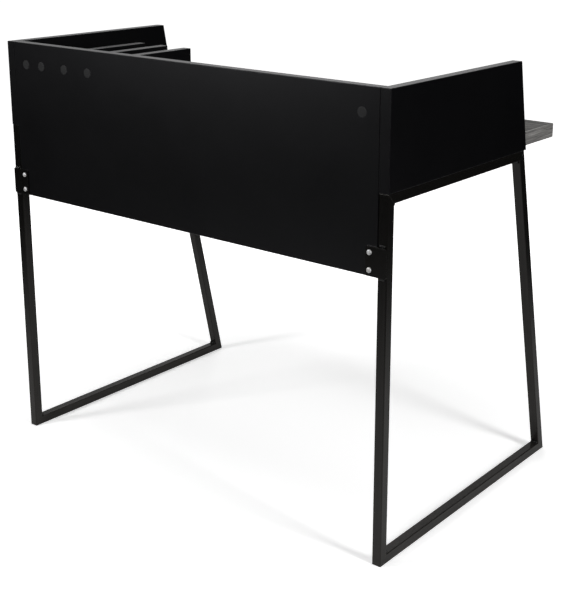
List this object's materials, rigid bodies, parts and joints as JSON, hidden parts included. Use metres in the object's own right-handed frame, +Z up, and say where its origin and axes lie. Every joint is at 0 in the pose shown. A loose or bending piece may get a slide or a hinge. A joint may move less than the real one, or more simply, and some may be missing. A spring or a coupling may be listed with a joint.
{
  "type": "writing desk",
  "caption": "Compact writing desk with raised black sides and back, a grey wood-grain desktop, an upright letter rack and two leaning square-tube leg frames.",
  "frame": {"origin": "on the floor, at the centre of the bounding box", "axes": "+Z up, the user sits on the -Y side and faces +Y, +X is the user's right, where the letter rack stands"},
  "size_m": [1.02, 0.656, 0.91],
  "materials": {
    "black_panel": "satin black laminate on board, with matching edge band",
    "grey_wood_grain": "dark grey wood-grain laminate, grain along the desk's width",
    "black_steel": "satin black powder coat",
    "zinc_screws": "bright zinc plated",
    "cam_zinc": "cast zinc alloy, as cast",
    "cover_plastic": "matte black, fine grain",
    "dowel_wood": "bare fluted beech"
  },
  "bodies": {
    "root": {"back_panel": "black_panel", "back_panel_cam_bolts": "zinc_screws", "back_panel_cams": "cam_zinc", "back_panel_dowels": "dowel_wood", "bracket_screws": "zinc_screws", "cam_covers": "cover_plastic", "desktop": "grey_wood_grain", "desktop_cam_bolts": "zinc_screws", "desktop_cams": "cam_zinc", "desktop_dowels": "dowel_wood", "left_bracket": "black_steel", "left_bracket_welds": "black_steel", "left_floor_rail": "black_steel", "left_frame_welds": "black_steel", "left_front_leg": "black_steel", "left_rear_leg": "black_steel", "left_side_panel": "black_panel", "left_top_rail": "black_steel", "rack_divider_1": "black_panel", "rack_divider_2": "black_panel", "rack_divider_3": "black_panel", "rack_screw_covers": "cover_plastic", "rack_screws": "zinc_screws", "right_bracket": "black_steel", "right_bracket_welds": "black_steel", "right_floor_rail": "black_steel", "right_frame_welds": "black_steel", "right_front_leg": "black_steel", "right_rear_leg": "black_steel", "right_side_panel": "black_panel", "right_top_rail": "black_steel"}
  },
  "joints": []
}
